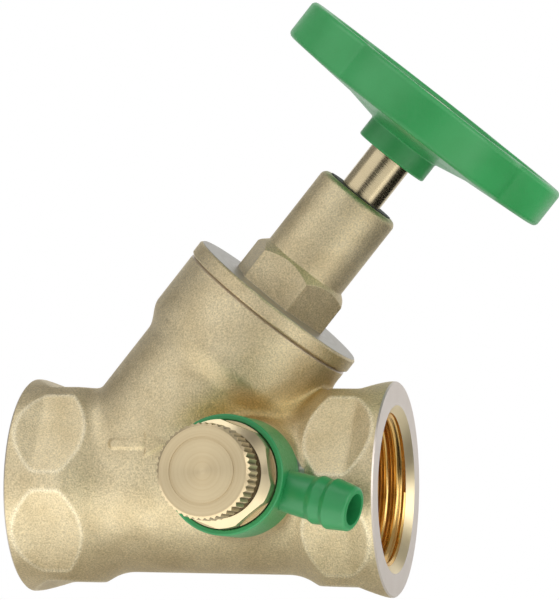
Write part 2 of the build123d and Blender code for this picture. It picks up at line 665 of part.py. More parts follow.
def drain_body():
    thread = DRAIN_THREAD_RADIUS - SCREWED
    slope = DRAIN_HEX_SLOPE * (DRAIN_HEX_RADIUS - DRAIN_HEX_FACE_RADIUS)
    shape = turned(
        (0, DRAIN_INNER_END),
        (thread - STEM_EDGE, DRAIN_INNER_END),
        (thread, DRAIN_INNER_END + STEM_EDGE),
        (thread, COLLAR_LEVEL),
        (COLLAR_RADIUS, COLLAR_LEVEL),
        (COLLAR_RADIUS, COLLAR_TOP),
        (DRAIN_STEM_RADIUS, COLLAR_TOP),
        (DRAIN_STEM_RADIUS, DRAIN_HEX_LEVEL),
        (DRAIN_LIP_RADIUS, DRAIN_HEX_LEVEL),
        (DRAIN_LIP_RADIUS, DRAIN_LIP_TOP - STEM_EDGE),
        (DRAIN_LIP_RADIUS - STEM_EDGE, DRAIN_LIP_TOP),
        (0, DRAIN_LIP_TOP),
    )
    ends = turned(
        (0, DRAIN_HEX_LEVEL),
        (DRAIN_HEX_RADIUS, DRAIN_HEX_LEVEL),
        (DRAIN_HEX_RADIUS, DRAIN_FACE - slope),
        (DRAIN_HEX_FACE_RADIUS, DRAIN_FACE),
        (0, DRAIN_FACE),
    )
    hexes = hexagon(DRAIN_ACROSS_FLATS, DRAIN_HEX_LEVEL, DRAIN_FACE)
    hexes = Rot(0, 0, 30 + DRAIN_HEX_TURN) * hexes
    flange = rod(DRAIN_HEX_RADIUS, DRAIN_HEX_LEVEL, DRAIN_HEX_LEVEL + DRAIN_FLANGE_HEIGHT)
    shape += hexes & ends
    shape += flange
    shape -= rod(DRAIN_INLET_RADIUS, DRAIN_INNER_END - 1, DRAIN_SEAT_LEVEL + 1)
    shape -= rod(DRAIN_BORE_RADIUS, DRAIN_SEAT_LEVEL, DRAIN_LIP_TOP + 1)
    waist = DRAIN_STEM_RADIUS - DRAIN_WAIST_DEPTH
    shape -= groove(waist, DRAIN_STEM_RADIUS + 1, NOZZLE_LEVEL, 2 * DRAIN_PORT_RADIUS)
    port = Rot(90, 0, 0) * Cylinder(DRAIN_PORT_RADIUS, 2 * DRAIN_STEM_RADIUS)
    for turn in (0, 90):
        shape -= Pos(0, 0, NOZZLE_LEVEL) * Rot(0, 0, turn) * port
    bottom = DRAIN_STEM_RADIUS - DRAIN_RING_SECTION - SEAL_PLAY
    width = DRAIN_RING_SECTION + GROOVE_PLAY
    for level in (INNER_RING_LEVEL, OUTER_RING_LEVEL):
        shape -= groove(bottom, DRAIN_STEM_RADIUS + 1, level, width)
    return shape


def drain_o_ring(level):
    return around(DRAIN_STEM_RADIUS - DRAIN_RING_SECTION / 2, DRAIN_RING_SECTION, level)


def drain_gasket():
    inner = DRAIN_THREAD_RADIUS + SCREWED
    return tube(inner, COLLAR_RADIUS, BOSS_FACE, COLLAR_LEVEL)


def drain_nozzle():
    recess = COLLAR_RADIUS + SWIVEL_MOUTH_GAP
    ring = turned(
        (recess, SWIVEL_LEVEL),
        (SWIVEL_RADIUS, SWIVEL_LEVEL, SWIVEL_EDGE),
        (SWIVEL_RADIUS, SWIVEL_FRONT, SWIVEL_EDGE),
        (SWIVEL_MOUTH_RADIUS, SWIVEL_FRONT, SWIVEL_EDGE / 2),
        (SWIVEL_MOUTH_RADIUS, SWIVEL_FRONT - SWIVEL_MOUTH_DEPTH),
        (SWIVEL_BORE, SWIVEL_FRONT - SWIVEL_MOUTH_DEPTH),
        (SWIVEL_BORE, COLLAR_TOP + SWIVEL_GAP),
        (recess, COLLAR_TOP + SWIVEL_GAP),
    )
    head = NOZZLE_TIP - NOZZLE_HEAD_LENGTH
    valley = head - NOZZLE_HEAD_RISE
    barb = valley - NOZZLE_BARB_FALL
    barbed = turned(
        (0, SWIVEL_GALLERY_RADIUS),
        (NOZZLE_ROOT_RADIUS, SWIVEL_GALLERY_RADIUS),
        (NOZZLE_SHANK_RADIUS, barb - NOZZLE_BARB_RISE, NOZZLE_BARB_ROUND),
        (NOZZLE_BARB_RADIUS, barb, NOZZLE_BARB_ROUND),
        (NOZZLE_VALLEY_RADIUS, valley, NOZZLE_HEAD_ROUND),
        (NOZZLE_HEAD_RADIUS, head, NOZZLE_HEAD_ROUND),
        (NOZZLE_TIP_RADIUS, NOZZLE_TIP, NOZZLE_TIP_ROUND),
        (0, NOZZLE_TIP),
    )
    aim = Rot(0, 0, -NOZZLE_DROP) * Pos(SWIVEL_GALLERY_RADIUS, 0, NOZZLE_LEVEL)
    aim *= Rot(0, -NOZZLE_LEAN, 0) * Pos(-SWIVEL_GALLERY_RADIUS, 0, 0)
    shape = ring + aim * along_x(barbed)
    gallery = SWIVEL_GALLERY_WIDTH
    shape -= groove(SWIVEL_BORE - 1, SWIVEL_GALLERY_RADIUS, NOZZLE_LEVEL, gallery)
    bore = rod(NOZZLE_BORE_RADIUS, SWIVEL_GALLERY_RADIUS - NOZZLE_BORE_DIP, NOZZLE_TIP + 1)
    return shape - aim * along_x(bore)


def drain_knob():
    pin = DRAIN_SEAL_TOP - DRAIN_SEAL_HOLE + 2 * END_PLAY
    shape = turned(
        (0, pin),
        (KNOB_PIN_RADIUS, pin),
        (KNOB_PIN_RADIUS, KNOB_PILOT_LEVEL),
        (KNOB_PILOT_RADIUS, KNOB_PILOT_LEVEL),
        (KNOB_PILOT_RADIUS, KNOB_PILOT_TOP),
        (KNOB_SHANK_RADIUS, KNOB_PILOT_TOP),
        (KNOB_SHANK_RADIUS, KNOB_LEVEL + KNOB_EDGE),
        (0, KNOB_LEVEL + KNOB_EDGE),
    )
    outline = [
        (
            (KNOB_RADIUS - KNURL_DEPTH * (k % 2)) * math.cos(math.pi * k / KNOB_RIDGES),
            (KNOB_RADIUS - KNURL_DEPTH * (k % 2)) * math.sin(math.pi * k / KNOB_RIDGES),
        )
        for k in range(2 * KNOB_RIDGES)
    ]
    ridged = Pos(0, 0, KNOB_LEVEL) * extrude(profile(*outline), KNOB_THICKNESS)
    blank = turned(
        (0, KNOB_LEVEL),
        (KNOB_RADIUS - KNOB_EDGE, KNOB_LEVEL),
        (KNOB_RADIUS + RUNNING, KNOB_LEVEL + KNOB_EDGE),
        (KNOB_RADIUS + RUNNING, KNOB_FACE - KNOB_EDGE),
        (KNOB_RADIUS - KNOB_EDGE, KNOB_FACE),
        (0, KNOB_FACE),
    )
    shape += ridged & blank
    mark_outer = KNOB_MARK_RADIUS + KNOB_MARK_WIDTH
    shape -= tube(KNOB_MARK_RADIUS, mark_outer, KNOB_FACE - KNOB_MARK_DEPTH, KNOB_FACE + 1)
    bottom = KNOB_SHANK_RADIUS - DRAIN_RING_SECTION - SEAL_PLAY
    width = DRAIN_RING_SECTION + GROOVE_PLAY
    return shape - groove(bottom, KNOB_SHANK_RADIUS + 1, KNOB_RING_LEVEL, width)


def drain_knob_o_ring():
    middle = KNOB_SHANK_RADIUS - DRAIN_RING_SECTION / 2
    return around(middle, DRAIN_RING_SECTION, KNOB_RING_LEVEL)


def drain_seal():
    washer = rod(DRAIN_SEAL_RADIUS, DRAIN_SEAL_LEVEL, DRAIN_SEAL_TOP)
    hole = rod(KNOB_PIN_RADIUS + RUNNING, DRAIN_SEAL_TOP - DRAIN_SEAL_HOLE, DRAIN_SEAL_TOP + 1)
    return washer - hole


PIECES = {
    "valve_body": valve_body(),
    "bonnet": STEM * bonnet(),
    "bonnet_o_ring": STEM * bonnet_o_ring(),
    "spindle": STEM * spindle(),
    "spindle_o_ring_lower": STEM * spindle_o_ring(LOWER_RING_LEVEL),
    "spindle_o_ring_upper": STEM * spindle_o_ring(UPPER_RING_LEVEL),
    "wiper_ring": STEM * wiper_ring(),
    "disc_holder": STEM * disc_holder(),
    "disc_seal": STEM * disc_seal(),
    "disc_washer": STEM * disc_washer(),
    "disc_nut": STEM * disc_nut(),
    "disc_clip": STEM * disc_clip(),
    "handwheel": STEM * handwheel(),
    "handwheel_washer": STEM * handwheel_washer(),
    "handwheel_screw": STEM * handwheel_screw(),
    "drain_body": DRAIN * drain_body(),
    "drain_gasket": DRAIN * drain_gasket(),
    "drain_o_ring_inner": DRAIN * drain_o_ring(INNER_RING_LEVEL),
    "drain_o_ring_outer": DRAIN * drain_o_ring(OUTER_RING_LEVEL),
    "drain_nozzle": DRAIN * drain_nozzle(),
    "drain_knob": DRAIN * drain_knob(),
    "drain_knob_o_ring": DRAIN * drain_knob_o_ring(),
    "drain_seal": DRAIN * drain_seal(),
}

for name, piece in PIECES.items():
    export_step(Pos(-SOCKET_START, 0, 0) * piece, f"parts/{name}.step")
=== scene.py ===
import math

import bmesh
import bpy
import numpy as np
from mathutils import Matrix, Vector


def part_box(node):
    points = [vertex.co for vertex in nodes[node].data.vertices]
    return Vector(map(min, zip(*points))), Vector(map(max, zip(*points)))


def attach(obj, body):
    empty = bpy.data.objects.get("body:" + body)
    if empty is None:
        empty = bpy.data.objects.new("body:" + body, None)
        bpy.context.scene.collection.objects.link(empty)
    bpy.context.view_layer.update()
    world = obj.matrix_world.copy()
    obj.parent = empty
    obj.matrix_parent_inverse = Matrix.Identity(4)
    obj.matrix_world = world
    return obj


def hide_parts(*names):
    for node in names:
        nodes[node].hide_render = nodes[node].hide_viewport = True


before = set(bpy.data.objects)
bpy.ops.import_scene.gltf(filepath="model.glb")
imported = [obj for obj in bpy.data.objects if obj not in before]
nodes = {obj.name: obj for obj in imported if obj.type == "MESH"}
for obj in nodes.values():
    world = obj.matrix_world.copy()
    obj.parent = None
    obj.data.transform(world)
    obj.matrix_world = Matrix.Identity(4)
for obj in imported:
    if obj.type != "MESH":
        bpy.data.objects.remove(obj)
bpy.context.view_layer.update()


# Valve body: one brass casting with a straight run, two hub ends and an oblique neck.
# Cast in sand and blasted, so its skin is dull and grainy with soft corners. The pipe
# sockets, end faces, neck bore and drain seat are then machined bright into it.

MM = 0.001
low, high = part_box("valve_body")
INLET_FACE, OUTLET_FACE = round(low.x / MM, 2), round(high.x / MM, 2)
RUN_RADIUS = 15.0
PASSAGE_RADIUS = 10.5
HUB_RADIUS, HUB_FLAT = round(-low.z / MM, 2), 16.85
HUB_BARREL, HUB_LENGTH = 9.9, 16.2
FLAT_START, FLAT_END = 1.0, 5.0
SHOULDER_ROUND, RUNOUT_ROUND, FLAT_ROUND = 0.3, 0.25, 0.14
NECK_RADIUS, HEAD_RADIUS = 14.9, 16.7
HEAD_START, HEAD_END = 23.8, 28.8
NECK_TOP = 38.9
BOSS_RADIUS, BOSS_FACE = 10.0, 17.4
HUB_FILLET, NECK_FILLET, BOSS_FILLET = 1.3, 4.5, 2.2
CAST_SPARE = 1.2

LEAN = math.radians(51.9)
STEM_FOOT = np.array((15.5, 0.0, 0.0))
STEM_AXIS = np.array((math.cos(LEAN), 0.0, math.sin(LEAN)))
STEM_SIDE = np.array((math.sin(LEAN), 0.0, -math.cos(LEAN)))
DRAIN_X, DRAIN_Z = 39.8, 1.0


def place(origin, side, axis):
    """Frame of a turned piece, with its axis as Z."""
    side, axis = Vector(side), Vector(axis)
    turn = Matrix((side, axis.cross(side), axis)).transposed().to_4x4()
    return Matrix.Translation(Vector(origin)) @ turn


STEM = place(STEM_FOOT, STEM_SIDE, STEM_AXIS)
DRAIN = place((DRAIN_X, 0, DRAIN_Z), (1, 0, 0), (0, -1, 0))
INLET = place((INLET_FACE, 0, 0), (0, 1, 0), (1, 0, 0))
OUTLET = place((OUTLET_FACE, 0, 0), (0, 1, 0), (-1, 0, 0))


def soft_join(a, b, reach):
    """Union of two distances with a cast fillet where they meet."""
    near = np.maximum(reach - np.abs(a - b), 0) / np.maximum(reach, 1e-6)
    return np.minimum(a, b) - near * near * reach / 4


def soft_cut(a, b, reach):
    """Overlap of two distances with a rounded edge."""
    return -soft_join(-a, -b, reach)


def ease(value, low, high):
    """Share from 0 to 1 that swells and levels out gently."""
    t = np.clip((value - low) / (high - low), 0, 1)
    return t * t * (3 - 2 * t)


def hub_faces(x, y, z, face, inward):
    """Distances from a hub's round barrel and from its flats, which run out towards the end."""
    inset = (x - face) * inward
    across = np.hypot(y, z)
    fall = (HUB_RADIUS - RUN_RADIUS) / (HUB_LENGTH - HUB_BARREL)
    taper = (across - HUB_RADIUS + fall * (inset - HUB_BARREL)) / math.hypot(1, fall)
    turns = [math.pi / 3 * k for k in range(6)]
    flat = np.max([z * math.cos(turn) + y * math.sin(turn) for turn in turns], axis=0)
    slope = (HUB_RADIUS - HUB_FLAT) / (FLAT_END - FLAT_START)
    runout = (flat - HUB_RADIUS + slope * (inset - FLAT_START)) / math.hypot(1, slope)
    barrel = soft_cut(across - HUB_RADIUS, taper, SHOULDER_ROUND)
    return barrel, soft_join(flat - HUB_FLAT, runout, RUNOUT_ROUND)


def hub_skin(x, y, z, face, inward):
    """Distance from a whole hub, with metal to spare at its end face."""
    barrel, flat = hub_faces(x, y, z, face, inward)
    return np.maximum(soft_cut(barrel, flat, FLAT_ROUND), (face - x) * inward - CAST_SPARE)


ARROW_START, ARROW_LENGTH, ARROW_HEIGHT = 15.4, 10.4, 6.7
ARROW_SHAFT, ARROW_HEAD, ARROW_HEAD_LENGTH = 1.5, 4.0, 3.8
ARROW_RELIEF, ARROW_ROUND = 0.38, 0.75
ARROW_FOOT, ARROW_BROW = 0.45, 0.35


def arrow_relief(x, y, z):
    """Height of the cast flow arrow over the skin around it."""
    along, up = x - ARROW_START, np.abs(z - ARROW_HEIGHT)
    neck = ARROW_LENGTH - ARROW_HEAD_LENGTH
    ends = np.maximum(np.abs(along - neck / 2) - neck / 2 + ARROW_ROUND, 0)
    shaft = np.hypot(ends, np.maximum(up - ARROW_SHAFT / 2 + ARROW_ROUND, 0)) - ARROW_ROUND
    lean = ARROW_HEAD / 2 / ARROW_HEAD_LENGTH
    point = (up - lean * (ARROW_LENGTH - along)) / math.hypot(1, lean)
    head = np.maximum(point, neck - along)
    edge = np.minimum(shaft, head)
    return ARROW_RELIEF * ease(-edge, -ARROW_FOOT, ARROW_BROW) * (y < 0)


def casting(points):
    """Distance from the skin of the rough casting, with its bores not yet machined."""
    x, y, z = points[..., 0], points[..., 1], points[..., 2]
    across = np.hypot(y, z)
    middle, half = (INLET_FACE + OUTLET_FACE) / 2, (OUTLET_FACE - INLET_FACE) / 2
    skin = np.maximum(across - RUN_RADIUS, np.abs(x - middle) - half)
    skin = soft_join(skin, hub_skin(x, y, z, INLET_FACE, 1), HUB_FILLET)
    skin = soft_join(skin, hub_skin(x, y, z, OUTLET_FACE, -1), HUB_FILLET)
    rise = (points - STEM_FOOT) @ STEM_AXIS
    side = (points - STEM_FOOT) @ STEM_SIDE
    around = np.hypot(side, y)
    wide = NECK_RADIUS + (HEAD_RADIUS - NECK_RADIUS) * ease(rise, HEAD_START, HEAD_END)
    neck = np.maximum(np.maximum(around - wide, -rise), rise - NECK_TOP - CAST_SPARE)
    facing = (y * y + z * side * STEM_SIDE[2]) / np.maximum(across * around, 1e-6)
    # The fillet is full on the flanks, small in the sharp corners above and below them.
    flank = 0.25 + 0.75 * ease(np.abs(y), 2, 11)
    skin = soft_join(skin, neck, NECK_FILLET * np.sqrt(np.clip(1 - facing, 0, 2)) * flank)
    boss = np.maximum(np.hypot(x - DRAIN_X, z - DRAIN_Z) - BOSS_RADIUS, y)
    boss = np.maximum(boss, -y - BOSS_FACE - CAST_SPARE)
    return soft_join(skin, boss, BOSS_FILLET) - arrow_relief(x, y, z)


# Reach and strength of the ochre corner tint: tarnished metal, with painted shade and painted warm
# reflection.
TINT_REACH, TINT_STRENGTH = 8.0, 1.9
TINT_SIDE, TINT_LOW, TINT_HIGH = 6.0, 8.0, 13.0


def corner_tint(points):
    """Share of ochre tint in the corner between neck and outlet: tarnished metal, with painted shade and
    painted warm reflection of the brass round it.
    """
    side = (points - STEM_FOOT) @ STEM_SIDE
    from_run = np.abs(np.hypot(points[:, 1], points[:, 2]) - RUN_RADIUS)
    from_neck = np.abs(np.hypot(side, points[:, 1]) - NECK_RADIUS)
    near = np.clip(1 - (from_run + from_neck) / TINT_REACH, 0, 1)
    return TINT_STRENGTH * near * ease(side, 0, TINT_SIDE) * ease(points[:, 2], TINT_LOW, TINT_HIGH)


# Width and depth of the band of worn metal with a painted highlight along the hub flats.
WEAR_GLINT_SLOPE, WEAR_GLINT_DEPTH = 0.15, 0.3


def edge_wear_and_glint(points):
    """Share of worn metal with a painted highlight: 1 on the edges of the hub flats, 0 off them."""
    x, y, z = points.T
    share = np.zeros(len(points))
    for face, inward in ((INLET_FACE, 1), (OUTLET_FACE, -1)):
        barrel, flat = hub_faces(x, y, z, face, inward)
        depth = np.maximum(barrel, flat)
        edge = np.exp(-((barrel - flat) / WEAR_GLINT_SLOPE) ** 2 - (depth / WEAR_GLINT_DEPTH) ** 2)
        share = np.maximum(share, edge)
    return share


def settle(points, rounds=4, step=0.02):
    """Moves points onto the skin of the casting."""
    for _ in range(rounds):
        slope = [(casting(points + d) - casting(points - d)) / (2 * step) for d in step * np.eye(3)]
        slope = np.stack(slope, -1)
        move = casting(points) / np.maximum((slope**2).sum(-1), 0.05)
        points = points - slope * np.clip(move, -1, 1)[:, None]
    return points


def pour(low, high, step):
    """Quads of the skin, one point for each cell of a fine grid that the skin crosses."""
    axes = [np.arange(a, b, step) for a, b in zip(low, high)]
    inside = casting(np.stack(np.meshgrid(*axes, indexing="ij"), -1)) < 0
    count = sum(
        inside[i: inside.shape[0] - 1 + i, j: inside.shape[1] - 1 + j, k: inside.shape[2] - 1 + k].astype(int)
        for i in (0, 1) for j in (0, 1) for k in (0, 1)
    )
    crossed = (count > 0) & (count < 8)
    number = np.full(crossed.shape, -1)
    number[crossed] = np.arange(crossed.sum())
    points = (np.argwhere(crossed) + 0.5) * step + np.array([axis[0] for axis in axes])
    quads = []
    for axis in range(3):
        order = (axis, (axis + 1) % 3, (axis + 2) % 3)
        solid, cell = inside.transpose(order), number.transpose(order)
        lower, upper = solid[:-1, 1:-1, 1:-1], solid[1:, 1:-1, 1:-1]
        ring = [cell[:, :-1, :-1], cell[:, 1:, :-1], cell[:, 1:, 1:], cell[:, :-1, 1:]]
        ring = np.stack(ring, -1)
        quads += [ring[lower & ~upper], ring[upper & ~lower][:, ::-1]]
    return points, np.concatenate(quads)


def even_out(points, quads, rounds):
    """Spreads the points evenly along the skin."""
    pairs = np.concatenate([quads[:, [k, (k + 1) % 4]] for k in range(4)])
    links = np.bincount(pairs[:, 0], minlength=len(points))[:, None]
    for _ in range(rounds):
        total = np.zeros_like(points)
        for axis in range(3):
            total[:, axis] = np.bincount(pairs[:, 0], points[pairs[:, 1], axis], len(points))
        points = settle(0.5 * points + 0.5 * total / links, 1)
    return points


def new_piece(name, data):
    """Object in the scene from a mesh, a lamp or a camera."""
    piece = bpy.data.objects.new(name, data)
    bpy.context.scene.collection.objects.link(piece)
    return piece


def turned(name, corners, frame_of, steps=144):
    """Closed solid of revolution from corners given as radius and level, in mm."""
    shape = bmesh.new()
    rings = []
    for radius, level in corners:
        if radius == 0:
            rings.append([shape.verts.new(frame_of @ Vector((0, 0, level)) * MM)] * steps)
            continue
        angles = [2 * math.pi * k / steps for k in range(steps)]
        ring = [Vector((radius * math.cos(a), radius * math.sin(a), level)) for a in angles]
        rings.append([shape.verts.new(frame_of @ point * MM) for point in ring])
    for first, second in zip(rings, rings[1:] + rings[:1]):
        for k in range(steps):
            corner = [first[k], first[(k + 1) % steps], second[(k + 1) % steps], second[k]]
            corner = list(dict.fromkeys(corner))
            if len(corner) > 2:
                shape.faces.new(corner)
    bmesh.ops.recalc_face_normals(shape, faces=shape.faces)
    mesh = bpy.data.meshes.new(name)
    shape.to_mesh(mesh)
    shape.free()
    return new_piece(name, mesh)


CELL = 0.42
MOULD_LOW, MOULD_HIGH = (-4.6, -20.4, -20.4), (65.2, 20.4, 46.4)
points, quads = pour(MOULD_LOW, MOULD_HIGH, CELL)
points = even_out(settle(points), quads, 3)
rough = bpy.data.meshes.new("cast_body")
rough.from_pydata(points * MM, [], quads.tolist())
shape = bmesh.new()
shape.from_mesh(rough)


def by_arrow(face):
    """Whether a face lies on the arrow or just round it, where the mesh has to be finer."""
    x, y, z = face.calc_center_median() / MM
    margin = 0.8
    along = -margin < x - ARROW_START < ARROW_LENGTH + margin
    return along and abs(z - ARROW_HEIGHT) < ARROW_HEAD / 2 + margin and y < 0


near_arrow = [face for face in shape.faces if by_arrow(face)]
edges = list({edge for face in near_arrow for edge in face.edges})
bmesh.ops.subdivide_edges(shape, edges=edges, cuts=3, use_grid_fill=True)
fine = settle(np.array([vert.co for vert in shape.verts]) / MM)
for vert, point in zip(shape.verts, fine):
    vert.co = point * MM
bmesh.ops.recalc_face_normals(shape, faces=shape.faces)
shape.to_mesh(rough)
shape.free()
body = new_piece("cast_body", rough)

SOCKET_RADIUS, SOCKET_DEPTH = 13.22, 14.0
MOUTH_RADIUS = 14.5
CUT_REACH, END_CLEAR, HUB_BREAK = 24.0, 4.0, 0.25
end_cut = [
    (0, -END_CLEAR), (CUT_REACH, -END_CLEAR), (CUT_REACH, CUT_REACH - HUB_RADIUS + HUB_BREAK),
    (HUB_RADIUS - HUB_BREAK, 0), (MOUTH_RADIUS, 0), (SOCKET_RADIUS, MOUTH_RADIUS - SOCKET_RADIUS),
    (SOCKET_RADIUS, SOCKET_DEPTH), (PASSAGE_RADIUS, SOCKET_DEPTH + 1), (0, SOCKET_DEPTH + 1),
]
SEAT_BORE, SEAT_RIM, SEAT_LEVEL = 9.6, 11.0, 13.0
SEAT_ROOT, SEAT_BREAK = 11.0, 0.1
CHAMBER_RADIUS, CHAMBER_FLOOR = 12.3, 12.0
TAPPING_RADIUS, TAPPING_START = 14.0, 28.5
RING_RECESS, RECESS_START = 15.25, 37.3
NECK_BREAK, NECK_CLEAR = 0.45, 3.0
NECK_CUT_START, NECK_CUT_END = 3.0, 44.0
neck_cut = [
    (0, NECK_CUT_START), (SEAT_BORE, NECK_CUT_START), (SEAT_BORE, SEAT_LEVEL),
    (SEAT_RIM, SEAT_LEVEL), (SEAT_RIM, CHAMBER_FLOOR),
    (CHAMBER_RADIUS, CHAMBER_FLOOR), (CHAMBER_RADIUS, TAPPING_START), (TAPPING_RADIUS, TAPPING_START),
    (TAPPING_RADIUS, RECESS_START), (RING_RECESS, RECESS_START), (RING_RECESS, NECK_TOP),
    (HEAD_RADIUS - NECK_BREAK, NECK_TOP), (HEAD_RADIUS + NECK_CLEAR, NECK_TOP - NECK_CLEAR - NECK_BREAK),
    (HEAD_RADIUS + NECK_CLEAR, NECK_CUT_END), (0, NECK_CUT_END),
]
DRAIN_HOLE, DRAIN_FLOOR = 6.58, 8.5
SPOT_FACE, SPOT_END = 11.0, 21.0
drain_cut = [
    (0, DRAIN_FLOOR), (DRAIN_HOLE, DRAIN_FLOOR), (DRAIN_HOLE, BOSS_FACE),
    (SPOT_FACE, BOSS_FACE), (SPOT_FACE, SPOT_END), (0, SPOT_END),
]
seat_lip = [
    (SEAT_BORE, SEAT_ROOT), (SEAT_RIM, SEAT_ROOT), (SEAT_RIM, SEAT_LEVEL - SEAT_BREAK),
    (SEAT_RIM - SEAT_BREAK, SEAT_LEVEL), (SEAT_BORE + SEAT_BREAK, SEAT_LEVEL),
    (SEAT_BORE, SEAT_LEVEL - SEAT_BREAK),
]
PASSAGE_END, INLET_WALL = 30.0, 9.0


def passage(name, level, frame_of):
    """Bore that ends on the sloping wall of the seat, at a level along the stem."""
    wall = [(PASSAGE_RADIUS, SOCKET_DEPTH), (PASSAGE_RADIUS, PASSAGE_END)]
    pipe = turned(name, [(0, SOCKET_DEPTH)] + wall + [(0, PASSAGE_END)], frame_of)
    for vert in pipe.data.vertices:
        point = Vector(vert.co) / MM
        if abs((frame_of.inverted() @ point).z - PASSAGE_END) < 0.01:
            reach = (level - (point - Vector(STEM_FOOT)).dot(Vector(STEM_AXIS))) / STEM_AXIS[0]
            vert.co.x += reach * MM
    return pipe


cutters = [
    (turned("inlet_cut", end_cut, INLET), "DIFFERENCE"),
    (turned("outlet_cut", end_cut, OUTLET), "DIFFERENCE"),
    (passage("inlet_bore", INLET_WALL, INLET), "DIFFERENCE"),
    (passage("outlet_bore", CHAMBER_FLOOR, OUTLET), "DIFFERENCE"),
    (turned("neck_cut", neck_cut, STEM), "DIFFERENCE"),
    (turned("drain_cut", drain_cut, DRAIN), "DIFFERENCE"),
    (turned("seat_lip", seat_lip, STEM), "UNION"),
]


def linear(code):
    """Linear RGBA from an sRGB hex code."""
    levels = [int(code[k: k + 2], 16) / 255 for k in (0, 2, 4)]
    return [c / 12.92 if c < 0.04045 else ((c + 0.055) / 1.055) ** 2.4 for c in levels] + [1]


def add(tree, kind, inputs=None, **settings):
    """Adds a node with its settings. An input is a value, or the output socket it comes from."""
    made = tree.nodes.new(kind)
    for key, value in settings.items():
        setattr(made, key, value)
    for key, value in (inputs or {}).items():
        if isinstance(value, bpy.types.NodeSocket):
            tree.links.new(value, made.inputs[key])
        else:
            made.inputs[key].default_value = value
    return made


def finish_of(name, surface):
    """Empty material with its output joined to the shader that surface makes in its tree."""
    material = bpy.data.materials.new(name)
    material.use_nodes = True
    tree = material.node_tree
    tree.nodes.clear()
    shader = surface(tree)
    add(tree, "ShaderNodeOutputMaterial", {"Surface": shader.outputs[0]})
    return material


def blasted_brass(tree):
    """Sand-cast brass, shot blasted: dull, pale gold, with a fine pitted grain. The corner by the neck is
    ochre, tarnished, with painted shade and painted warm reflection, and the edges of the hub flats are worn
    to bright metal, with a painted highlight over it. The grain is drawn coarser than the shot's, to show."""
    grain_size, patch_size, edge_round = 0.28 * MM, 7 * MM, 0.3 * MM
    spot = add(tree, "ShaderNodeTexCoord").outputs["Object"]
    grain = add(tree, "ShaderNodeTexNoise", {"Vector": spot, "Scale": 1 / grain_size, "Detail": 3})
    patch = add(tree, "ShaderNodeTexNoise", {"Vector": spot, "Scale": 1 / patch_size, "Detail": 4})
    grain, patch = grain.outputs["Fac"], patch.outputs["Fac"]
    tone = add(tree, "ShaderNodeMapRange", {"Value": patch, "From Min": 0.35, "From Max": 0.65})
    metal = add(tree, "ShaderNodeMix", {"Factor": tone.outputs[0], "A": linear("cebd98"),
                                        "B": linear("ddceab")}, data_type="RGBA")
    # Ochre tint in the corner by the neck: tarnished metal, with painted shade and painted warm reflection.
    depth = add(tree, "ShaderNodeAttribute", attribute_name="tarnish_and_shade").outputs["Fac"]
    tint_share = add(tree, "ShaderNodeMath", {0: depth, 1: patch}, operation="MULTIPLY", use_clamp=True)
    brown = add(tree, "ShaderNodeMix", {"Factor": tint_share.outputs[0], "A": metal.outputs["Result"],
                                        "B": linear("c8a446")}, data_type="RGBA")
    # Painted highlight along the edges of the hub flats, on worn metal: the colour is mixed towards near
    # white.
    edge = add(tree, "ShaderNodeAttribute", attribute_name="wear_and_glint").outputs["Fac"]
    bright = add(tree, "ShaderNodeMath", {0: edge, 1: grain}, operation="MULTIPLY")
    bare_and_glint = add(tree, "ShaderNodeMix", {"Factor": bright.outputs[0], "A": brown.outputs["Result"],
                                       "B": linear("f8eed2")}, data_type="RGBA")
    speck = add(tree, "ShaderNodeMapRange", {"Value": grain, "From Min": 0.3, "From Max": 0.7,
                                             "To Min": 0.71, "To Max": 1.18})
    shade = add(tree, "ShaderNodeVectorMath", {0: bare_and_glint.outputs["Result"], 1: speck.outputs[0]},
                operation="MULTIPLY")
    rough = add(tree, "ShaderNodeMapRange", {"Value": grain, "From Min": 0.3, "From Max": 0.7,
                                             "To Min": 0.42, "To Max": 0.56})
    corner = add(tree, "ShaderNodeBevel", {"Radius": edge_round}, samples=4).outputs[0]
    relief = add(tree, "ShaderNodeBump", {"Height": grain, "Strength": 0.9, "Distance": 0.1 * MM,
                                          "Normal": corner})
    return add(tree, "ShaderNodeBsdfPrincipled", {
        "Base Color": shade.outputs[0], "Metallic": 1.0, "Roughness": rough.outputs[0],
        "Normal": relief.outputs[0]})


def lathe_rings(tree, frame_of, pitch):
    """Radius and level on the lathe in metres, and the noise of the tool marks around its axis."""
    spot = add(tree, "ShaderNodeTexCoord").outputs["Object"]
    turn = frame_of.inverted().to_3x3()
    foot = turn @ (frame_of.translation * MM)
    lathe = add(tree, "ShaderNodeMapping", {"Vector": spot, "Rotation": turn.to_euler(), "Location": -foot})
    split = add(tree, "ShaderNodeSeparateXYZ", {0: lathe.outputs[0]})
    flat = add(tree, "ShaderNodeCombineXYZ", {"X": split.outputs["X"], "Y": split.outputs["Y"]})
    radius = add(tree, "ShaderNodeVectorMath", {0: flat.outputs[0]}, operation="LENGTH").outputs["Value"]
    ring = add(tree, "ShaderNodeCombineXYZ", {"X": radius, "Y": split.outputs["Z"]})
    marks = add(tree, "ShaderNodeTexNoise", {"Vector": ring.outputs[0], "Scale": 1 / (pitch * MM)})
    return radius, split.outputs["Z"], marks.outputs["Fac"]


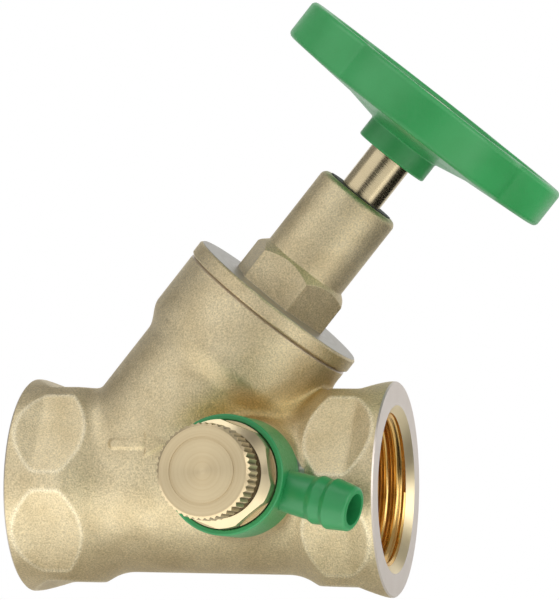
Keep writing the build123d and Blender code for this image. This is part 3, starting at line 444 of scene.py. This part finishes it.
def tooled_brass(frame_of, pitch, dark, light, dull):
    """Brass cut on a lathe: clean metal with fine rings about the axis it turned on, drawn a little
    coarser than the feed of the tool, to show."""
    def surface(tree):
        marks = lathe_rings(tree, frame_of, pitch)[2]
        spot = add(tree, "ShaderNodeTexCoord").outputs["Object"]
        cloud = add(tree, "ShaderNodeTexNoise", {"Vector": spot, "Scale": 1 / (4 * MM), "Detail": 3})
        tone = add(tree, "ShaderNodeMix", {"Factor": cloud.outputs["Fac"], "A": linear(dark),
                                           "B": linear(light)}, data_type="RGBA")
        rough = add(tree, "ShaderNodeMapRange", {"Value": marks, "From Min": 0.3, "From Max": 0.7,
                                                 "To Min": dull, "To Max": dull + 0.1})
        relief = add(tree, "ShaderNodeBump", {"Height": marks, "Strength": 0.3, "Distance": 0.05 * MM})
        return add(tree, "ShaderNodeBsdfPrincipled", {
            "Base Color": tone.outputs["Result"], "Metallic": 1.0, "Roughness": rough.outputs[0],
            "Normal": relief.outputs[0]})
    return surface


MARK_PITCH = 0.25
cast_brass = finish_of("cast_brass_blasted", blasted_brass)
bored_brass = finish_of("brass_bored_run", tooled_brass(INLET, MARK_PITCH, "deb064", "ebc47c", 0.2))
# The faced ends are greyer than the brass: a painted reflection of the white surroundings.
faced_brass = finish_of("brass_faced_ends", tooled_brass(INLET, MARK_PITCH, "cdc2b8", "dad1c8", 0.36))
mouth_brass = finish_of("brass_chamfered_mouth", tooled_brass(INLET, MARK_PITCH, "e2d0a8", "eedfba", 0.34))

for piece in [body] + [cutter for cutter, action in cutters]:
    for material in (cast_brass, bored_brass, faced_brass, mouth_brass):
        piece.data.materials.append(material)
for cutter, action in cutters:
    for face in cutter.data.polygons:
        off_axis = math.hypot(face.center.y, face.center.z) / MM
        bored, chamfered = off_axis < SOCKET_RADIUS + 0.001, off_axis < MOUTH_RADIUS
        face.material_index = 1 if bored else 3 if chamfered else 2
    step = body.modifiers.new(cutter.name, "BOOLEAN")
    step.object, step.operation, step.solver = cutter, action, "MANIFOLD"
    cutter.hide_render = True
machined = bpy.data.meshes.new_from_object(body.evaluated_get(bpy.context.evaluated_depsgraph_get()))
body.modifiers.clear()
body.data = machined
for cutter, action in cutters:
    bpy.data.objects.remove(cutter)
machined.shade_smooth()
machined.set_sharp_from_angle(angle=math.radians(32))
# Share of the corner tint per point: tarnished metal, with painted shade and painted warm reflection.
corner_tints = machined.attributes.new("tarnish_and_shade", "FLOAT", "POINT")
spots = np.array([vert.co for vert in machined.vertices]) / MM
corner_tints.data.foreach_set("value", corner_tint(spots))
# Share of the painted edge highlight on worn metal, per point.
wear_and_glint = machined.attributes.new("wear_and_glint", "FLOAT", "POINT")
wear_and_glint.data.foreach_set("value", edge_wear_and_glint(spots))
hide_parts("valve_body")
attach(body, "valve")


# Pipe threads: the ridges of the internal 3/4 inch thread in both sockets, with 14 turns
# to the inch. Cut into the brass of the body with a tap, so they are as bright as the bores.

THREAD_PITCH, THREAD_CREST = 1.814, 12.3
THREAD_START, THREAD_TURNS = 1.0, 6
ROOT_SINK, MOUTH_SINK = 0.06, 0.05


def thread(name, frame_of):
    """Helical ridge on the wall of a socket, fading in at the mouth and out at the back."""
    steps, waves = 120, 11
    shape, last = bmesh.new(), None
    for k in range(THREAD_TURNS * steps + 1):
        angle, level = 2 * math.pi * k / steps, THREAD_START + THREAD_PITCH * k / steps
        fade = min(1, (THREAD_TURNS * steps - k) / steps)
        row = []
        for w in range(waves):
            share = w / (waves - 1) - 0.5
            depth = level + THREAD_PITCH * share
            lift = (0.5 + 0.5 * math.cos(2 * math.pi * share)) * fade
            radius = SOCKET_RADIUS + ROOT_SINK - (SOCKET_RADIUS - THREAD_CREST) * lift
            radius = max(radius, MOUTH_RADIUS + MOUTH_SINK - depth)
            point = Vector((radius * math.cos(angle), radius * math.sin(angle), depth))
            row.append(shape.verts.new(frame_of @ point * MM))
        if last:
            for a in range(waves):
                shape.faces.new((last[a], last[(a + 1) % waves], row[(a + 1) % waves], row[a]))
        else:
            shape.faces.new(row)
        last = row
    shape.faces.new(last[::-1])
    bmesh.ops.recalc_face_normals(shape, faces=shape.faces)
    mesh = bpy.data.meshes.new(name)
    shape.to_mesh(mesh)
    shape.free()
    mesh.shade_smooth()
    mesh.set_sharp_from_angle(angle=math.radians(30))
    mesh.materials.append(bored_brass)
    ridge = new_piece(name, mesh)
    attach(ridge, "valve")


thread("inlet_thread", INLET)
thread("outlet_thread", OUTLET)


# Bonnet: flange, hexagon and gland tube in one brass forging, screwed down on the neck.
# Blasted like the body, so both have the same dull grain, then faced on top of the flange.


def dress(material, *names):
    """Gives CAD pieces their finish."""
    for name in names:
        nodes[name].data.materials.clear()
        nodes[name].data.materials.append(material)


FLANGE_TOP, FACE_SLACK = 41.6, 0.06


def forged_bonnet(tree):
    """Blasted brass with the top of its flange faced on a lathe: a paler, greyer ring, whose grey is a
    painted reflection of the white surroundings, darkened as painted shade.
    """
    level = lathe_rings(tree, STEM, MARK_PITCH)[1]
    top = add(tree, "ShaderNodeMath", {0: level, 1: FLANGE_TOP * MM, 2: FACE_SLACK * MM}, operation="COMPARE")
    skin = blasted_brass(tree)
    # Painted reflection and shade: the faced top is a dark grey in place of brass yellow.
    face = tooled_brass(STEM, MARK_PITCH, "a29d94", "b0aba2", 0.36)(tree)
    return add(tree, "ShaderNodeMixShader", {0: top.outputs[0], 1: skin.outputs[0], 2: face.outputs[0]})


dress(finish_of("forged_brass_blasted", forged_bonnet), "bonnet")


# Spindle, the disc on its foot and the screw that holds the wheel: brass turned from bar.
# Left smooth from the tool so the seals last, which gives long clear streaks of light and dark.

turned_stem = finish_of("brass_turned_stem", tooled_brass(STEM, MARK_PITCH, "cbb994", "d9caa8", 0.2))
dress(turned_stem, "spindle", "disc_holder", "disc_washer", "disc_nut")
dress(turned_stem, "handwheel_screw", "handwheel_washer")


# Handwheel: dished wheel with four lobes, moulded in green glass-filled nylon.
# It sits on the square of the spindle and is held there by a screw and washer.


def moulded_nylon(dark, light):
    """Nylon from a spark-eroded mould: even green, half gloss, its fine grain drawn coarser to show."""
    def surface(tree):
        spot = add(tree, "ShaderNodeTexCoord").outputs["Object"]
        grain = add(tree, "ShaderNodeTexNoise", {"Vector": spot, "Scale": 1 / (0.4 * MM), "Detail": 2})
        cloud = add(tree, "ShaderNodeTexNoise", {"Vector": spot, "Scale": 1 / (9 * MM), "Detail": 3})
        grain = grain.outputs["Fac"]
        tone = add(tree, "ShaderNodeMix", {"Factor": cloud.outputs["Fac"], "A": linear(dark),
                                           "B": linear(light)}, data_type="RGBA")
        rough = add(tree, "ShaderNodeMapRange", {"Value": grain, "From Min": 0.3, "From Max": 0.7,
                                                 "To Min": 0.30, "To Max": 0.44})
        relief = add(tree, "ShaderNodeBump", {"Height": grain, "Strength": 0.2, "Distance": 0.05 * MM})
        return add(tree, "ShaderNodeBsdfPrincipled", {
            "Base Color": tone.outputs["Result"], "Roughness": rough.outputs[0], "IOR": 1.53,
            "Normal": relief.outputs[0]})
    return surface


dress(finish_of("nylon_green_wheel", moulded_nylon("25803f", "359a56")), "handwheel")


# Drain valve: a brass body with a hexagon, screwed into the boss, and a knurled brass knob.
# Both turned from bar. The knob is faced across its front, and the roots of its knurl are painted dark, as
# shade.

KNOB_FACE, KNOB_EDGE = round(-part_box("drain_knob")[0].y / MM, 2), 0.6
KNURL_ROOT, KNURL_CREST = 7.6, 8.0
FACING_PITCH = 0.4


def faced_knob(tree):
    """Brass faced on a lathe: rings drawn coarser than the cut, to show, a sheen in sectors, and painted
    shade darkening the roots of the knurl.
    """
    radius, level, marks = lathe_rings(tree, DRAIN, FACING_PITCH)
    tone = add(tree, "ShaderNodeMix", {"Factor": marks, "A": linear("c8b38d"),
                                       "B": linear("dccba7")}, data_type="RGBA")
    # Painted shade: the side of the knob darkens towards the roots of the knurl.
    root = add(tree, "ShaderNodeMapRange", {"Value": radius, "From Min": KNURL_ROOT * MM, "To Min": 0.85,
                                            "From Max": KNURL_CREST * MM, "To Max": 0.0})
    side = add(tree, "ShaderNodeMath", {0: level, 1: (KNOB_FACE - KNOB_EDGE) * MM}, operation="LESS_THAN")
    groove_shade = add(tree, "ShaderNodeMath", {0: root.outputs[0], 1: side.outputs[0]}, operation="MULTIPLY")
    shade = add(tree, "ShaderNodeMix", {"Factor": groove_shade.outputs[0], "A": tone.outputs["Result"],
                                        "B": linear("4a3c26")}, data_type="RGBA")
    relief = add(tree, "ShaderNodeBump", {"Height": marks, "Strength": 0.3, "Distance": 0.05 * MM})
    around = add(tree, "ShaderNodeTangent", direction_type="RADIAL", axis="Y")
    return add(tree, "ShaderNodeBsdfPrincipled", {
        "Base Color": shade.outputs["Result"], "Metallic": 1.0, "Roughness": 0.34, "Anisotropic": 0.8,
        "Anisotropic Rotation": 0.25, "Tangent": around.outputs[0], "Normal": relief.outputs[0]})


turned_drain = finish_of("brass_turned_drain", tooled_brass(DRAIN, MARK_PITCH, "cbb994", "d9caa8", 0.26))
dress(turned_drain, "drain_body")
dress(finish_of("brass_faced_knob", faced_knob), "drain_knob")


# Hose nozzle: swivel ring and barbed spout in one moulding, of the wheel's nylon in a
# deeper green. It turns freely round the drain valve, below the hexagon that keeps it on.

dress(finish_of("nylon_green_nozzle", moulded_nylon("17733a", "26894e")), "drain_nozzle")


# Seals: O-rings, wiper and flat seals, hot pressed from black nitrile rubber.
# Laid in grooves of the spindle, bonnet, disc and drain valve, mostly out of sight.


def black_rubber(tree):
    """Pressed nitrile rubber: matt black with a dusty bloom."""
    spot = add(tree, "ShaderNodeTexCoord").outputs["Object"]
    bloom = add(tree, "ShaderNodeTexNoise", {"Vector": spot, "Scale": 1 / (1.2 * MM), "Detail": 3})
    tone = add(tree, "ShaderNodeMix", {"Factor": bloom.outputs["Fac"], "A": linear("1d1d1c"),
                                       "B": linear("34322f")}, data_type="RGBA")
    return add(tree, "ShaderNodeBsdfPrincipled", {"Base Color": tone.outputs["Result"], "Roughness": 0.62})


rubber = finish_of("nitrile_rubber_black", black_rubber)
dress(rubber, "bonnet_o_ring", "spindle_o_ring_lower", "spindle_o_ring_upper", "wiper_ring", "disc_seal")
dress(rubber, "drain_o_ring_inner", "drain_o_ring_outer", "drain_knob_o_ring", "drain_seal")


# Gasket: flat ring punched from red vulcanised fibre sheet.
# Squeezed between the drain valve and its boss, so only its edge can show.


def red_fibre(tree):
    """Vulcanised fibre sheet: dull brick red, cloudy with pressed paper fibres."""
    spot = add(tree, "ShaderNodeTexCoord").outputs["Object"]
    fibres = add(tree, "ShaderNodeTexNoise", {"Vector": spot, "Scale": 1 / (0.6 * MM), "Detail": 4})
    tone = add(tree, "ShaderNodeMix", {"Factor": fibres.outputs["Fac"], "A": linear("7d3a2c"),
                                       "B": linear("a35a45")}, data_type="RGBA")
    return add(tree, "ShaderNodeBsdfPrincipled", {"Base Color": tone.outputs["Result"], "Roughness": 0.8})


dress(finish_of("fibre_sheet_red", red_fibre), "drain_gasket")


# Snap ring: open ring bent from round spring steel wire.
# Sprung into a groove of the disc, it holds the disc on the foot of the spindle.


def drawn_steel(tree):
    """Drawn spring wire: grey metal with a silky gloss."""
    spot = add(tree, "ShaderNodeTexCoord").outputs["Object"]
    cloud = add(tree, "ShaderNodeTexNoise", {"Vector": spot, "Scale": 1 / (1.5 * MM), "Detail": 3})
    tone = add(tree, "ShaderNodeMix", {"Factor": cloud.outputs["Fac"], "A": linear("8a8b8e"),
                                       "B": linear("a9abae")}, data_type="RGBA")
    return add(tree, "ShaderNodeBsdfPrincipled", {
        "Base Color": tone.outputs["Result"], "Metallic": 1.0, "Roughness": 0.3})


dress(finish_of("spring_steel_drawn", drawn_steel), "disc_clip")


# Studio: a pale floor, low enough for the nozzle to swing, white all round and three soft
# lamps. A grey cloth tunnel and dark cards stand where only the metal shows them, as the
# streaks and dark sides that a light tent gives to brass.

bpy.context.scene.view_settings.view_transform = "Standard"


def flat_sheet(name, half, material):
    """Square sheet in the floor's plane, as a new piece."""
    sheet = bmesh.new()
    bmesh.ops.create_grid(sheet, x_segments=1, y_segments=1, size=half)
    mesh = bpy.data.meshes.new(name)
    sheet.to_mesh(mesh)
    sheet.free()
    mesh.materials.append(material)
    return new_piece(name, mesh)


def light_table(tree):
    """White acrylic lit from below: pale, and bright enough to light the underside of the part."""
    return add(tree, "ShaderNodeBsdfPrincipled",
               {"Base Color": linear("d8d8d6"), "Roughness": 0.7, "Specular IOR Level": 0,
                "Emission Color": (1, 1, 1, 1), "Emission Strength": 0.1})


FLOOR_LEVEL, FLOOR_HALF = -24.5 * MM, 1.5
floor = flat_sheet("floor", FLOOR_HALF, finish_of("studio_floor", light_table))
floor.location.z = FLOOR_LEVEL

world = bpy.data.worlds.new("studio")
bpy.context.scene.world = world
world.use_nodes = True
tree = world.node_tree
tree.nodes.clear()
background = add(tree, "ShaderNodeBackground", {"Color": (1, 1, 1, 1), "Strength": 1.0})
add(tree, "ShaderNodeOutputWorld", {"Surface": background.outputs[0]})


def cloth_of(code):
    """Matt cloth or card of one shade."""
    def surface(tree):
        return add(tree, "ShaderNodeBsdfDiffuse", {"Color": linear(code)})
    return surface


def only_in_metal(held):
    """Keeps a piece of the studio to reflections, and out of the model."""
    held.visible_camera = held.visible_diffuse = held.visible_shadow = False


def card(name, code, middle, facing, wide, high):
    """Card that faces the part, with its place and size in metres."""
    held = flat_sheet(name, 0.5, finish_of(name, cloth_of(code)))
    turn = Vector(facing).to_track_quat("Z", "Y").to_matrix().to_4x4()
    held.matrix_world = Matrix.Translation(middle) @ turn @ Matrix.Diagonal((wide, high, 1, 1))
    only_in_metal(held)


AIM = (0.04, 0, 0.03)
TUNNEL_RADIUS, TUNNEL_FRONT, TUNNEL_BACK = 0.55, -0.14, 0.55
cloth = bmesh.new()
bmesh.ops.create_cone(cloth, cap_ends=False, segments=64, radius1=TUNNEL_RADIUS, radius2=TUNNEL_RADIUS,
                      depth=TUNNEL_BACK - TUNNEL_FRONT)
mesh = bpy.data.meshes.new("tunnel")
cloth.to_mesh(mesh)
cloth.free()
mesh.materials.append(finish_of("tunnel_cloth", cloth_of("9c9c9c")))
tunnel = new_piece("tunnel", mesh)
tunnel.rotation_euler.x = math.pi / 2
tunnel.location = (AIM[0], (TUNNEL_FRONT + TUNNEL_BACK) / 2, AIM[2])
only_in_metal(tunnel)

card("dark_card_right", "181818", (0.18, 0.07, -0.0235), (0, 0, 1), 0.16, 0.24)
card("dark_card_front", "181818", (0.105, -0.30, 0.05), (0, 1, 0), 0.09, 0.11)
card("dark_card_stem", "181818", (0.07, -0.07, 0.056), (-0.15, 1, 0), 0.06, 0.03)
card("dark_card_side", "282828", (0.36, -0.34, 0.05), (-0.7, 0.7, 0), 0.28, 0.10)


def lamp(name, spot, aim, wide, high, power):
    """Soft box with its power in watts."""
    light = bpy.data.lights.new(name, "AREA")
    light.shape, light.size, light.size_y, light.energy = "RECTANGLE", wide, high, power
    held = new_piece(name, light)
    held.location = spot
    held.rotation_euler = (Vector(aim) - Vector(spot)).to_track_quat("-Z", "Y").to_euler()
    held.visible_camera = False


lamp("key", (-0.12, -0.26, 0.6), AIM, 0.4, 0.4, 0.45)
lamp("low", (0.07, -0.045, -0.0225), (0.07, -0.045, 1), 0.3, 0.045, 0.044)
lamp("right", (0.5, -0.12, 0.1), AIM, 0.3, 0.3, 0.55)


# Camera: a long lens at the photograph's place, a little below the middle of the part and
# to its right. Its turn, distance and focal length come from a fit to sizes of the part.

YAW, PITCH, ROLL = (math.radians(a) for a in (14.444, -4.991, 1.278))
TARGET, DISTANCE = Vector((41.254, 0, 32.727)), 646.944
FOCAL_PIXELS, PHOTO_HEIGHT, SENSOR = 3713.692, 600, 36
view = Vector((-math.sin(YAW) * math.cos(PITCH), math.cos(YAW) * math.cos(PITCH), -math.sin(PITCH)))
level = Vector((math.cos(YAW), math.sin(YAW), 0))
rise = level.cross(view)
right = math.cos(ROLL) * level + math.sin(ROLL) * rise
up = math.cos(ROLL) * rise - math.sin(ROLL) * level
lens = bpy.data.cameras.new("camera")
lens.sensor_width = SENSOR
lens.lens = FOCAL_PIXELS * SENSOR / PHOTO_HEIGHT
camera = new_piece("camera", lens)
eye = TARGET - DISTANCE * view
camera.matrix_world = Matrix.Translation(eye * MM) @ Matrix((right, up, -view)).transposed().to_4x4()
bpy.context.scene.camera = camera
